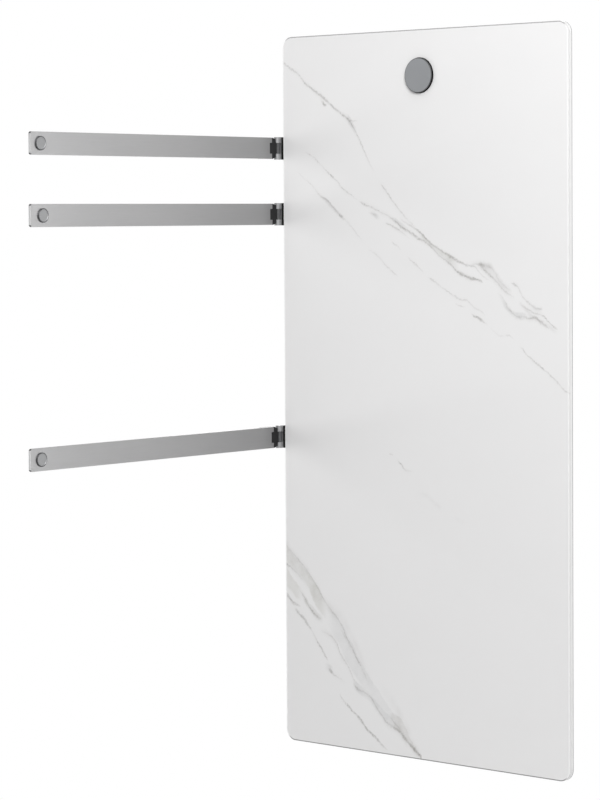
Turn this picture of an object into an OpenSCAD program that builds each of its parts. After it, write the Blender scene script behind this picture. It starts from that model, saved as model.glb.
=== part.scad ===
// Wall-hung electric towel warmer: a heated stone-faced panel with three
// swing-out steel towel arms. Millimetres. +X runs right along the panel,
// +Y runs back to the wall, +Z is up. The origin is the centre of the four
// wall-fixing holes, on the wall plane (y = 0).

/* [Panel] */
// Width of the panel
panel_w = 600; // [580:5:640]
// Height of the panel
panel_h = 1200; // [1160:10:1300]
// Radius of the panel's four outer corners
corner_r = 19; // [12:1:24]
// Thickness of the stone slab
slab_t = 4; // [4:0.5:8]
// Thickness of the aluminium rails behind the slab
rail_t = 4.5; // [4.5:0.5:8]
// Thickness of the dark sealing tape between slab and rails
seal_t = 0.5; // [0.4:0.1:1]
// Thickness of the sheet-steel back cover
cover_t = 1.5; // [1:0.1:2]
// Gap between the back cover and the wall
standoff = 30; // [30:1:34]

/* [Towel arms] */
// Heights of the upper, middle and lower arm above the panel's centre
arm_z = [412, 300, -80];
// Length of an arm from its hinge pin to its tip
arm_len = 598; // [520:2:600]
// Height of the flat arm bar
arm_h = 36; // [34:1:38]
// Thickness of the flat arm bar
arm_t = 3.5; // [3.2:0.1:4]
// Radius of the corners at the arm's tip
arm_tip_r = 4; // [2:0.5:8]
// Angle between the panel's face and the open upper, middle and lower arm
open_angle = [87.8, 87.9, 88.4];
// Distance from the tip of the upper, middle and lower arm to its magnet pad
pad_inset = [22.4, 27.6, 24.3];
// Diameter of the magnet pad
pad_d = 22.4; // [20:0.2:26]

/* [Hinge] */
// Distance of the hinge pin from the panel's left side
pin_out = 9; // [9:0.5:11]
// Distance of the hinge pin in front of the panel's face
pin_fwd = 6.2; // [6.2:0.1:7]
// Diameter of the hinge pin
pin_d = 4; // [4:0.1:4.4]
// Radial clearance between the pin and the knuckle's bore
pin_clear = 0.05; // [0.03:0.01:0.08]
// Height of the hinge bracket
base_h = 38; // [38:0.5:42]
// Height of the window between the two lugs
window_h = 18.4; // [16:0.1:18.6]

/* [Power button] */
// Diameter of the round push button
button_d = 57; // [54:1:60]
// Height of the button's centre above the panel's centre
button_z = 525; // [520:1:530]
// Travel of the button
button_travel = 1.5; // [1:0.1:1.6]

/* [Wall fixing] */
// Distance between the left and right wall holes
wall_x = 400; // [380:5:420]
// Distance between the upper and lower wall holes
wall_z = 800; // [760:10:820]
// Diameter of a wall hole
wall_hole_d = 6.5; // [5:0.5:8]

/* [Hidden] */
$fn = 64;

// Depth planes, from the wall forwards
y_back  = -standoff;              // rear face of the back cover
y_cov   = y_back - cover_t;       // front face of the back cover
y_railf = y_cov - rail_t;         // front face of the rails
y_slabb = y_railf - seal_t;       // rear face of the slab
y_face  = y_slabb - slab_t;       // front face of the slab
foil_t  = 0.6;
y_foilb = y_slabb + foil_t;       // rear face of the heating foil

x_l = -panel_w / 2;               // left side of the panel
x_r = panel_w / 2;
z_t = panel_h / 2;

hinge_rail_w = 44;
right_rail_w = 16;
end_rail_h = 25;

pin_x = x_l - pin_out;
pin_y = y_face - pin_fwd;
knuckle_h = window_h - 1.2;
washer_t = 0.5;
lug_r = 5.5;

bx = 0;                           // button axis
bz = button_z;
bezel_r = 25.7;
bezel_bore = 23.8;

box_w = 130;                      // control housing
box_z0 = bz - 35;
box_z1 = bz + 35;
y_box = -10;                      // rear rim of the housing
wall = 2;
y_pcb0 = -22;
y_pcb1 = -20.4;

strap_h = 30;
strap_t = 3;
hook_x = 150;
rail_len = wall_x + 60;

pad_t = 2.2;

// ---- helpers ----
module box3(x0, x1, y0, y1, z0, z1)
    translate([x0, y0, z0]) cube([x1 - x0, y1 - y0, z1 - z0]);

// straight cylinder along Y from y0 (front) to y1 (back)
module ycyl(x, z, y0, y1, r)
    translate([x, y1, z]) rotate([90, 0, 0]) cylinder(r = r, h = y1 - y0);

// cone frustum along Y: radius ra at y0, rb at y1
module ycone(x, z, y0, y1, ra, rb)
    translate([x, y1, z]) rotate([90, 0, 0]) cylinder(r1 = rb, r2 = ra, h = y1 - y0);

// extrude a child drawn in X-Z along Y
module yplate(y0, y1)
    translate([0, y1, 0]) rotate([90, 0, 0]) linear_extrude(y1 - y0) children();

// extrude a child drawn in Y-Z along X
module xplate(x0, x1)
    translate([x0, 0, 0]) rotate([90, 0, 90]) linear_extrude(x1 - x0) children();

module rrect(w, h, r) {
    square([w - 2 * r, h], center = true);
    square([w, h - 2 * r], center = true);
    for (sx = [-1, 1], sz = [-1, 1])
        translate([sx * (w / 2 - r), sz * (h / 2 - r)]) circle(r = r);
}

// one end rail's outline: two rounded outer corners
module end_outline(s)
    intersection() {
        rrect(panel_w, panel_h, corner_r);
        translate([-panel_w, s > 0 ? z_t - end_rail_h : -z_t - 1]) square([2 * panel_w, end_rail_h + 1]);
    }

// places children at hinge pin i, turned with the open arm; -Y is along the arm
module at_pin(i) translate([pin_x, pin_y, arm_z[i]]) rotate([0, 0, 90 - open_angle[i]]) children();

cover_pts = concat(
    [for (x = [-270, -90, 90, 270], s = [-1, 1]) [x, s * (z_t - 12)]],
    [for (z = [-190, 190]) [x_r - 8, z]],
    [for (z = [-300, 120]) [x_l + 12, z]]);

hook_pts = [for (sx = [-1, 1], sz = [-1, 1], dx = [-18, 18]) [sx * hook_x + dx, sz * wall_z / 2 - 8]];
hinge_pts = [for (z = arm_z, dx = [16, 33]) [x_l + dx, z]];
strike_x = [for (d = pad_inset) pin_x + arm_len - d];
box_pts = [for (sx = [-1, 1], sz = [-1, 1]) [sx * 59.5, bz + sz * 29.5]];
pcb_pts = [for (sx = [-1, 1], sz = [-1, 1]) [sx * 49, bz + 3 + sz * 22]];
lead_pts = [[-32, bz - 14], [-24, bz - 14]];

// ---- panel ----
module stone_slab() color("#e8e6e3") difference() {
    yplate(y_face, y_slabb) rrect(panel_w, panel_h, corner_r);
    ycyl(bx, bz, y_face - 1, y_slabb + 1, bezel_r + 0.3);
}

module edge_seal() color("#3a3a3a") yplate(y_slabb, y_railf) difference() {
    rrect(panel_w - 1.2, panel_h - 1.2, corner_r - 0.6);
    square([panel_w - 20, panel_h - 20], center = true);
}

module heating_foil() color("#5b4a3c") difference() {
    box3(x_l + 46, x_r - 18, y_slabb, y_foilb, -z_t + 27, z_t - 27);
    ycyl(bx, bz, y_slabb - 1, y_foilb + 1, 27);
}

module insulation_board() color("#d9d3c2") difference() {
    box3(x_l + hinge_rail_w, x_r - right_rail_w, y_foilb, y_cov, -z_t + end_rail_h, z_t - end_rail_h);
    ycyl(bx, bz, y_foilb - 1, y_cov + 1, 27);
    // channels for the two straps
    for (s = [-1, 1])
        box3(x_l, x_r, y_cov - strap_t, y_cov + 1, s * wall_z / 2 - strap_h / 2, s * wall_z / 2 + strap_h / 2);
    // pockets for the strike discs, the sensor and the cut-out
    for (i = [0:2]) ycyl(strike_x[i], arm_z[i], y_foilb - 1, y_foilb + 1.5, 13.2);
    box3(82, 100, y_foilb - 1, y_foilb + 3.2, bz - 62, bz - 56);
    box3(-101, -83, y_foilb - 1, y_foilb + 4, bz - 66, bz - 54);
    for (p = lead_pts) ycyl(p[0], p[1], y_foilb - 1, y_cov + 1, 1.2);
    box3(x_l + 46, x_r - 18, y_foilb - 1, y_foilb, -z_t, z_t);
}

module hinge_rail() color("#c9cbcc") difference() {
    box3(x_l, x_l + hinge_rail_w, y_railf, y_cov, -z_t + end_rail_h, z_t - end_rail_h);
    for (p = hinge_pts) ycyl(p[0], p[1], y_railf - 1, y_cov + 1, 2.6);
    for (p = cover_pts) if (p[0] < x_l + 20) ycyl(p[0], p[1], y_railf - 1, y_cov + 1, 1.6);
}

module right_rail() color("#c9cbcc") difference() {
    box3(x_r - right_rail_w, x_r, y_railf, y_cov, -z_t + end_rail_h, z_t - end_rail_h);
    for (p = cover_pts) if (p[0] > x_r - 20) ycyl(p[0], p[1], y_railf - 1, y_cov + 1, 1.6);
}

module end_rail(s) color("#c9cbcc") difference() {
    yplate(y_railf, y_cov) end_outline(s);
    for (p = cover_pts) if (p[1] * s > z_t - 20) ycyl(p[0], p[1], y_railf - 1, y_cov + 1, 1.6);
}
module top_rail() end_rail(1);
module bottom_rail() end_rail(-1);

module strap(s) color("#8d9093") difference() {
    box3(x_l + hinge_rail_w, x_r - right_rail_w, y_cov - strap_t, y_cov, s * wall_z / 2 - strap_h / 2, s * wall_z / 2 + strap_h / 2);
    for (p = hook_pts) if (p[1] * s > 0) ycyl(p[0], p[1], y_cov - strap_t - 1, y_cov + 1, 2.1);
}
module upper_strap() strap(1);
module lower_strap() strap(-1);

module back_cover() color("#55585b") difference() {
    yplate(y_cov, y_back) rrect(panel_w, panel_h, corner_r);
    ycyl(bx, bz, y_cov - 1, y_back + 1, 6);
    for (p = cover_pts) ycyl(p[0], p[1], y_cov - 1, y_back + 1, 1.7);
    for (p = hook_pts) ycyl(p[0], p[1], y_cov - 1, y_back + 1, 2.2);
    for (p = hinge_pts) ycyl(p[0], p[1], y_cov - 1, y_back + 1, 2.7);
    for (p = lead_pts) ycyl(p[0], p[1], y_cov - 1, y_back + 1, 1.5);
}

// pan-head screw along Y: head behind plane y, shank forward
module screw(x, z, y, head_r, head_t, r, len) difference() {
    union() {
        ycyl(x, z, y, y + head_t * 0.6, head_r);
        ycone(x, z, y + head_t * 0.6, y + head_t, head_r, head_r * 0.7);
        ycyl(x, z, y - len, y, r);
    }
    // cross recess
    for (a = [0, 90]) translate([x, y + head_t, z]) rotate([0, a, 0])
        cube([head_r * 1.1, head_t * 1.1, head_r * 0.28], center = true);
}

module cover_screws() color("#9a9c9e") for (p = cover_pts) screw(p[0], p[1], y_back, 3, 1.6, 1.5, 5.4);
module hook_screws() color("#9a9c9e") for (p = hook_pts) screw(p[0], p[1], y_back + 2.5, 3.8, 2.2, 2, 6.6);
module hinge_screws() color("#9a9c9e") for (p = hinge_pts) screw(p[0], p[1], y_back + 3.5, 4.5, 2.6, 2.5, 9);

module strike_discs() color("#777777") for (i = [0:2]) ycyl(strike_x[i], arm_z[i], y_foilb, y_foilb + 1.4, 13);

module temperature_sensor() color("#222222") {
    translate([83, y_foilb + 1.5, bz - 59]) rotate([0, 90, 0]) cylinder(r = 1.5, h = 16);
}
module thermal_cutout() color("#3d4a8a") box3(-100, -84, y_foilb, y_foilb + 3.6, bz - 64, bz - 56);
module foil_leads() color("#b5322c") for (p = lead_pts) ycyl(p[0], p[1], y_foilb, y_pcb0, 0.9);

// ---- control unit behind the panel ----
module control_housing() color("#2b2d2f") difference() {
    union() {
        difference() {
            box3(-box_w / 2, box_w / 2, y_back, y_box, box_z0, box_z1);
            box3(-box_w / 2 + wall, box_w / 2 - wall, y_back + wall, y_box + 1, box_z0 + wall, box_z1 - wall);
        }
        for (p = box_pts) ycyl(p[0], p[1], y_back + wall, y_box, 4);
        for (p = pcb_pts) ycyl(p[0], p[1], y_back + wall, y_pcb0, 3);
    }
    ycyl(bx, bz, y_back - 1, y_back + wall + 1, 6);
    for (p = box_pts) ycyl(p[0], p[1], y_box - 10, y_box + 1, 1.4);
    for (p = pcb_pts) ycyl(p[0], p[1], y_back + wall + 0.5, y_pcb0 + 1, 1.1);
    for (p = lead_pts) ycyl(p[0], p[1], y_back - 1, y_back + wall + 1, 1.5);
    translate([40, -19, box_z0 - 1]) cylinder(r = 8, h = wall + 2);
}

module control_lid() color("#2b2d2f") difference() {
    box3(-box_w / 2, box_w / 2, y_box, y_box + 2, box_z0, box_z1);
    for (p = box_pts) ycyl(p[0], p[1], y_box - 1, y_box + 3, 1.6);
    // vent slots
    for (i = [-3:3]) box3(-22, 22, y_box - 1, y_box + 3, bz + i * 7 - 1, bz + i * 7 + 1);
}

module lid_screws() color("#9a9c9e") for (p = box_pts) screw(p[0], p[1], y_box + 2, 2.8, 1.6, 1.3, 10);
module board_screws() color("#9a9c9e") for (p = pcb_pts) screw(p[0], p[1], y_pcb1, 2.2, 1.3, 1, 5.5);

module control_board() color("#1f6b3a") difference() {
    box3(-55, 55, y_pcb0, y_pcb1, bz - 22, bz + 28);
    for (p = pcb_pts) ycyl(p[0], p[1], y_pcb0 - 1, y_pcb1 + 1, 1.2);
}

module push_switch() color("#1a1a1a") difference() {
    box3(-7, 7, y_pcb0 - 5.6, y_pcb0, bz - 7, bz + 7);
    ycyl(bx, bz, y_pcb0 - 6, y_pcb0 - 0.8, 2.3);
}
module relay() color("#20242c") box3(-46, -18, y_pcb1, y_pcb1 + 8.6, bz + 2, bz + 14);
module terminal_block() color("#3e7d4f") difference() {
    box3(14, 44, y_pcb1, y_pcb1 + 8, bz - 16, bz - 6);
    for (x = [19, 29, 39]) ycyl(x, bz - 11, y_pcb1 + 4, y_pcb1 + 9, 2.2);
}

module cable_gland() color("#1d1e1f") difference() {
    translate([40, -19, 0]) union() {
        translate([0, 0, box_z0 - 5]) cylinder(r = 10.6, h = 5, $fn = 6);
        translate([0, 0, box_z0 - 12]) cylinder(r1 = 6.2, r2 = 8.4, h = 3);
        translate([0, 0, box_z0 - 9]) cylinder(r = 8.4, h = 4);
        translate([0, 0, box_z0]) cylinder(r = 7.9, h = 7);
    }
    translate([40, -19, box_z0 - 13]) cylinder(r = 3.6, h = 30);
}
module gland_nut() color("#1d1e1f") difference() {
    translate([40, -19, box_z0 + wall]) cylinder(r = 10, h = 4, $fn = 6);
    translate([40, -19, box_z0]) cylinder(r = 8, h = 8);
}

// ---- power button ----
module button_bezel() color("#161616") difference() {
    union() {
        ycyl(bx, bz, y_face - 1, y_face, 29.3);
        ycyl(bx, bz, y_face, y_slabb + 2, bezel_r);
    }
    ycyl(bx, bz, y_face - 2, y_slabb + 1, bezel_bore);
    ycyl(bx, bz, y_slabb, y_slabb + 3, 2.8);
}

module button_cap() color("#96989b") {
    difference() {
        union() {
            ycone(bx, bz, y_face - 4.6, y_face - 4, button_d / 2 - 0.6, button_d / 2);
            ycyl(bx, bz, y_face - 4, y_face - 2.6, button_d / 2);
            ycyl(bx, bz, y_face - 2.6, y_face + 3.2, 23.5);
        }
        ycyl(bx, bz, y_face - 2.6, y_face + 5, 22);
    }
    ycyl(bx, bz, y_face - 2.6, -33, 2.5);
}

module switch_plunger() color("#d8d8d8") ycyl(bx, bz, -33, y_pcb0 - 4.2, 2);

// ---- wall fixing ----
module wall_rail(s) color("#a9abad") translate([0, 0, s * wall_z / 2]) difference() {
    union() {
        box3(-rail_len / 2, rail_len / 2, -2.5, 0, -20, 20);
        box3(-rail_len / 2, rail_len / 2, -14, -2.5, 17.5, 20);
        box3(-rail_len / 2, rail_len / 2, -14, -11.5, 20, 32);
    }
    for (x = [-wall_x / 2, wall_x / 2]) ycyl(x, 0, -3.5, 1, wall_hole_d / 2);
}
module upper_wall_rail() wall_rail(1);
module lower_wall_rail() wall_rail(-1);

module hook() difference() {
    union() {
        box3(-28, 28, y_back, y_back + 2.5, -22, 34.5);
        box3(-28, 28, y_back + 2.5, -8.7, 32, 34.5);
        box3(-28, 28, -11.2, -8.7, 22.5, 32);
    }
    for (dx = [-18, 18]) ycyl(dx, -8, y_back - 1, y_back + 4, 2.2);
}
module hanging_hooks() color("#a9abad")
    for (sx = [-1, 1], sz = [-1, 1]) translate([sx * hook_x, 0, sz * wall_z / 2]) hook();

// ---- hinge: fixed side ----
module hinge_base(i) color("#b4b6b8") translate([0, 0, arm_z[i]]) difference() {
    union() {
        // side plate and rear leg
        box3(x_l - 8, x_l - 3.5, y_face - 0.5, y_back + 3.5, -base_h / 2, base_h / 2);
        xleg();
        // two lugs with their webs
        for (s = [-1, 1]) {
            z0 = s > 0 ? window_h / 2 : -base_h / 2;
            z1 = s > 0 ? base_h / 2 : -window_h / 2;
            translate([pin_x, pin_y, z0]) cylinder(r = lug_r, h = z1 - z0);
            box3(pin_x - lug_r, x_l - 3.5, pin_y, y_face + 2, z0, z1);
        }
    }
    translate([pin_x, pin_y, -base_h]) cylinder(r = pin_d / 2, h = 2 * base_h);
    for (dx = [16, 33]) ycyl(x_l + dx, 0, y_back - 1, y_back + 5, 2.7);
}
module xleg() yplate(y_back, y_back + 3.5) {
    translate([x_l - 8, -base_h / 2]) square([46, base_h]);
    translate([x_l + 38, -base_h / 2 + 6]) square([6, base_h - 12]);
    for (s = [-1, 1]) translate([x_l + 38, s * (base_h / 2 - 6)]) circle(r = 6);
}
module upper_hinge_base() hinge_base(0);
module middle_hinge_base() hinge_base(1);
module lower_hinge_base() hinge_base(2);

module hinge_gasket(i) color("#101010") translate([0, 0, arm_z[i]])
    box3(x_l - 3.5, x_l, y_face - 1.2, y_back, -base_h / 2, base_h / 2);
module upper_hinge_gasket() hinge_gasket(0);
module middle_hinge_gasket() hinge_gasket(1);
module lower_hinge_gasket() hinge_gasket(2);

module hinge_pin(i) color("#c4c6c8") translate([pin_x, pin_y, arm_z[i]]) {
    translate([0, 0, -base_h / 2 + 0.4]) cylinder(r = pin_d / 2, h = base_h - 0.8);
    translate([0, 0, base_h / 2 - 0.4]) cylinder(r1 = pin_d / 2, r2 = pin_d / 2 - 0.4, h = 0.4);
    translate([0, 0, -base_h / 2]) cylinder(r1 = pin_d / 2 - 0.4, r2 = pin_d / 2, h = 0.4);
}
module upper_hinge_pin() hinge_pin(0);
module middle_hinge_pin() hinge_pin(1);
module lower_hinge_pin() hinge_pin(2);

module hinge_washers() color("#e8e4d8") for (z = arm_z, s = [-1, 1])
    translate([pin_x, pin_y, z + s * (window_h / 2 - washer_t / 2) - washer_t / 2]) difference() {
        cylinder(r = 4.8, h = washer_t);
        translate([0, 0, -1]) cylinder(r = pin_d / 2 + 0.1, h = 3);
    }

// ---- towel arm: moving side ----
// Local frame: pin on Z, arm along -Y, +X is the face that closes on the panel
module arm_outline() difference() {
    union() {
        translate([-arm_len + arm_tip_r, -arm_h / 2]) square([arm_len - arm_tip_r - 17.5, arm_h]);
        translate([-arm_len, -arm_h / 2 + arm_tip_r]) square([arm_tip_r, arm_h - 2 * arm_tip_r]);
        for (s = [-1, 1]) translate([-arm_len + arm_tip_r, s * (arm_h / 2 - arm_tip_r)]) circle(r = arm_tip_r);
    }
    // notch for the knuckle's tongue
    translate([-23.2, -window_h / 2]) square([7.2, window_h]);
}

module towel_arm(i) color("#b9bbbd") at_pin(i) difference() {
    xplate(0, arm_t) arm_outline();
    // blind holes for the two screws and the magnet pad's stud
    for (y = [-27, -37]) translate([-1, y, 0]) rotate([0, 90, 0]) cylinder(r = 2.1, h = 1 + arm_t - 0.8);
    translate([arm_t - 2.4, -arm_len + pad_inset[i], 0]) rotate([0, 90, 0]) cylinder(r = 3.2, h = 5);
}
module upper_arm() towel_arm(0);
module middle_arm() towel_arm(1);
module lower_arm() towel_arm(2);

// end block beside the lugs, with tapered shoulders
module shoulder_outline(y0) polygon([
    [y0, -arm_h / 2], [-15, -arm_h / 2], [-6.4, -arm_h / 2 + 2.8],
    [-6.4, arm_h / 2 - 2.8], [-15, arm_h / 2], [y0, arm_h / 2]]);

module carrier_outline() {
    shoulder_outline(-44);
    translate([-47, -arm_h / 2 + 3]) square([3, arm_h - 6]);
    for (s = [-1, 1]) translate([-44, s * (arm_h / 2 - 3)]) circle(r = 3);
}

module knuckle(i) color("#26282a") at_pin(i) difference() {
    union() {
        translate([0, 0, -knuckle_h / 2]) cylinder(r = 5, h = knuckle_h);
        xplate(-5.5, 0) carrier_outline();
        xplate(-1, 2.6) shoulder_outline(-17.3);
        translate([-3, -23, -knuckle_h / 2]) cube([6, 23, knuckle_h]);
    }
    translate([0, 0, -20]) cylinder(r = pin_d / 2 + pin_clear, h = 40);
    // screw clearance holes and head recesses in the outer face
    for (y = [-27, -37]) {
        translate([-6, y, 0]) rotate([0, 90, 0]) cylinder(r = 2.2, h = 7);
        translate([-6, y, 0]) rotate([0, 90, 0]) cylinder(r = 4, h = 2.7);
    }
    // take the tongue's inner side out of the arm bar's place
    translate([0, -60, -20]) cube([10, 37, 40]);
}
module upper_knuckle() knuckle(0);
module middle_knuckle() knuckle(1);
module lower_knuckle() knuckle(2);

module arm_screw_pair(i) color("#8f9194") at_pin(i)
    for (y = [-27, -37]) translate([-3.3, y, 0]) rotate([0, 90, 0]) difference() {
        union() {
            translate([0, 0, -1.9]) cylinder(r1 = 3.3, r2 = 3.7, h = 0.5);
            translate([0, 0, -1.4]) cylinder(r = 3.7, h = 1.4);
            cylinder(r = 2, h = 5.6);
        }
        translate([0, 0, -2.9]) cylinder(r = 1.45, h = 2.2, $fn = 6);
    }
module upper_arm_screws() arm_screw_pair(0);
module middle_arm_screws() arm_screw_pair(1);
module lower_arm_screws() arm_screw_pair(2);

module magnet_pad(i) color("#8e9092") at_pin(i)
    translate([arm_t, -arm_len + pad_inset[i], 0]) rotate([0, 90, 0]) difference() {
        union() {
            cylinder(r = pad_d / 2, h = pad_t - 0.4);
            translate([0, 0, pad_t - 0.4]) cylinder(r1 = pad_d / 2, r2 = pad_d / 2 - 0.4, h = 0.4);
            translate([0, 0, -2.2]) cylinder(r = 3, h = 3);
        }
        // shallow dish with a sloped wall, leaving a raised rim
        translate([0, 0, pad_t - 0.7]) cylinder(r1 = pad_d / 2 - 2, r2 = pad_d / 2 - 0.857, h = 1);
    }
module upper_magnet_pad() magnet_pad(0);
module middle_magnet_pad() magnet_pad(1);
module lower_magnet_pad() magnet_pad(2);

stone_slab();
edge_seal();
heating_foil();
insulation_board();
hinge_rail();
right_rail();
top_rail();
bottom_rail();
upper_strap();
lower_strap();
back_cover();
cover_screws();
strike_discs();
temperature_sensor();
thermal_cutout();
foil_leads();
control_housing();
control_lid();
lid_screws();
control_board();
board_screws();
push_switch();
relay();
terminal_block();
cable_gland();
gland_nut();
button_bezel();
button_cap();
switch_plunger();
upper_wall_rail();
lower_wall_rail();
hanging_hooks();
hook_screws();
upper_hinge_base();
middle_hinge_base();
lower_hinge_base();
upper_hinge_gasket();
middle_hinge_gasket();
lower_hinge_gasket();
upper_hinge_pin();
middle_hinge_pin();
lower_hinge_pin();
hinge_washers();
hinge_screws();
upper_arm();
upper_knuckle();
upper_arm_screws();
upper_magnet_pad();
middle_arm();
middle_knuckle();
middle_arm_screws();
middle_magnet_pad();
lower_arm();
lower_knuckle();
lower_arm_screws();
lower_magnet_pad();
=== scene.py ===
import math
import bpy
import bmesh
from mathutils import Vector, Matrix


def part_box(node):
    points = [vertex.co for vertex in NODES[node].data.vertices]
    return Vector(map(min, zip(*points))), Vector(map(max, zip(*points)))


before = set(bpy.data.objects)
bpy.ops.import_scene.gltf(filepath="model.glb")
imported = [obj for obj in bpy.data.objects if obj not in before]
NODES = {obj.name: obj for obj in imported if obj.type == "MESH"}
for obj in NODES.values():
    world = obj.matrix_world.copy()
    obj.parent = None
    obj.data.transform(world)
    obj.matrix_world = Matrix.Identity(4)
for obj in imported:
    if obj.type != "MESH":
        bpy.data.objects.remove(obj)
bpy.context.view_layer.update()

# ------------------------------------------------------------------ camera
cam_data = bpy.data.cameras.new("camera")
cam = bpy.data.objects.new("camera", cam_data)
bpy.context.scene.collection.objects.link(cam)
bpy.context.scene.camera = cam
yaw, pitch, roll = math.radians(41.7007), math.radians(-2.3524), math.radians(-0.3504)
fwd = Vector((-math.sin(yaw) * math.cos(pitch), math.cos(yaw) * math.cos(pitch), math.sin(pitch)))
right = Vector((math.cos(yaw), math.sin(yaw), 0.0))
up = right.cross(fwd)
r2 = math.cos(roll) * right + math.sin(roll) * up
u2 = -math.sin(roll) * right + math.cos(roll) * up
rot = Matrix((r2, u2, -fwd)).transposed().to_4x4()
cam.matrix_world = Matrix.Translation(Vector((3.00867, -3.71449, 0.29632))) @ rot
cam_data.sensor_fit = "AUTO"
cam_data.sensor_width = 36.0
cam_data.lens = 130.4493
cam_data.shift_y = -0.0808
cam_data.clip_end = 60.0


# ------------------------------------------------------- material helpers
class Mat:
    """A small builder for node materials."""

    def __init__(self, name):
        self.m = bpy.data.materials.new(name)
        self.m.use_nodes = True
        self.t = self.m.node_tree
        self.t.nodes.clear()
        self.out = self.t.nodes.new("ShaderNodeOutputMaterial")
        self.b = self.t.nodes.new("ShaderNodeBsdfPrincipled")
        self.t.links.new(self.b.outputs[0], self.out.inputs[0])
        self.tc = None

    def set(self, **kw):
        for k, v in kw.items():
            s = self.b.inputs[k.replace("_", " ")]
            s.default_value = v
        return self

    def n(self, kind, **props):
        n = self.t.nodes.new(kind)
        for k, v in props.items():
            setattr(n, k, v)
        return n

    def put(self, sock, v):
        if hasattr(v, "is_output") or isinstance(v, bpy.types.NodeSocket):
            self.t.links.new(v, sock)
        else:
            sock.default_value = v

    def coord(self):
        if self.tc is None:
            self.tc = self.n("ShaderNodeTexCoord").outputs["Object"]
        return self.tc

    def xyz(self, v=None):
        s = self.n("ShaderNodeSeparateXYZ")
        self.put(s.inputs[0], v if v is not None else self.coord())
        return s.outputs[0], s.outputs[1], s.outputs[2]

    def comb(self, x, y, z):
        c = self.n("ShaderNodeCombineXYZ")
        for i, v in enumerate((x, y, z)):
            self.put(c.inputs[i], v)
        return c.outputs[0]

    def math(self, op, a, b=None, c=None, clamp=False):
        n = self.n("ShaderNodeMath", operation=op, use_clamp=clamp)
        for i, v in enumerate((a, b, c)):
            if v is not None:
                self.put(n.inputs[i], v)
        return n.outputs[0]

    def vmath(self, op, a, b=None):
        n = self.n("ShaderNodeVectorMath", operation=op)
        self.put(n.inputs[0], a)
        if b is not None:
            self.put(n.inputs[1], b)
        return n.outputs[0]

    def scale(self, v, s):
        n = self.n("ShaderNodeVectorMath", operation="MULTIPLY")
        self.put(n.inputs[0], v)
        n.inputs[1].default_value = s if isinstance(s, (tuple, list)) else (s, s, s)
        return n.outputs[0]

    def noise(self, vec, scale, detail=2.0, rough=0.5, out=0, dist=0.0):
        n = self.n("ShaderNodeTexNoise")
        self.put(n.inputs["Vector"], vec)
        n.inputs["Scale"].default_value = scale
        n.inputs["Detail"].default_value = detail
        n.inputs["Roughness"].default_value = rough
        n.inputs["Distortion"].default_value = dist
        return n.outputs[out]

    def voronoi(self, vec, scale, feature="F1", out="Distance", rand=1.0):
        n = self.n("ShaderNodeTexVoronoi", feature=feature)
        self.put(n.inputs["Vector"], vec)
        n.inputs["Scale"].default_value = scale
        n.inputs["Randomness"].default_value = rand
        return n.outputs[out]

    def remap(self, v, a, b, c=0.0, d=1.0, kind="LINEAR"):
        n = self.n("ShaderNodeMapRange", interpolation_type=kind)
        self.put(n.inputs[0], v)
        for i, k in enumerate((a, b, c, d)):
            self.put(n.inputs[i + 1], k)
        return n.outputs[0]

    def mix(self, f, a, b, blend="MIX"):
        n = self.n("ShaderNodeMix", data_type="RGBA", blend_type=blend)
        self.put(n.inputs[0], f)
        self.put(n.inputs[6], a)
        self.put(n.inputs[7], b)
        return n.outputs[2]

    def bump(self, h, strength=0.2, distance=0.0005, normal=None):
        n = self.n("ShaderNodeBump")
        n.inputs["Strength"].default_value = strength
        n.inputs["Distance"].default_value = distance
        self.put(n.inputs["Height"], h)
        if normal is not None:
            self.put(n.inputs["Normal"], normal)
        return n.outputs[0]

    def to(self, name, v):
        self.put(self.b.inputs[name], v)
        return self


def col(r, g=None, b=None):
    if g is None:
        g = b = r
    return (r, g, b, 1.0)


def assign(mat, *nodes):
    for name in nodes:
        o = NODES[name]
        o.data.materials.clear()
        o.data.materials.append(mat.m)


# ------------------------------------------------------------ stone panel
# Veins: centre line (s, z) in mm from the panel's lower left corner, and the
# strength of the dark core and of the soft halo along s.
LO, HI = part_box("stone_slab")
HALF = ((HI[0] - LO[0]) / 2.0, (HI[2] - LO[2]) / 2.0)
FACE_Y = LO[1]
# strength of the painted shade line along the top and bottom edges
ARRIS_SHADE = 0.74
CORE_F = 0.52
HALO_F = 0.26
FILL_F = 0.50

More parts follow.
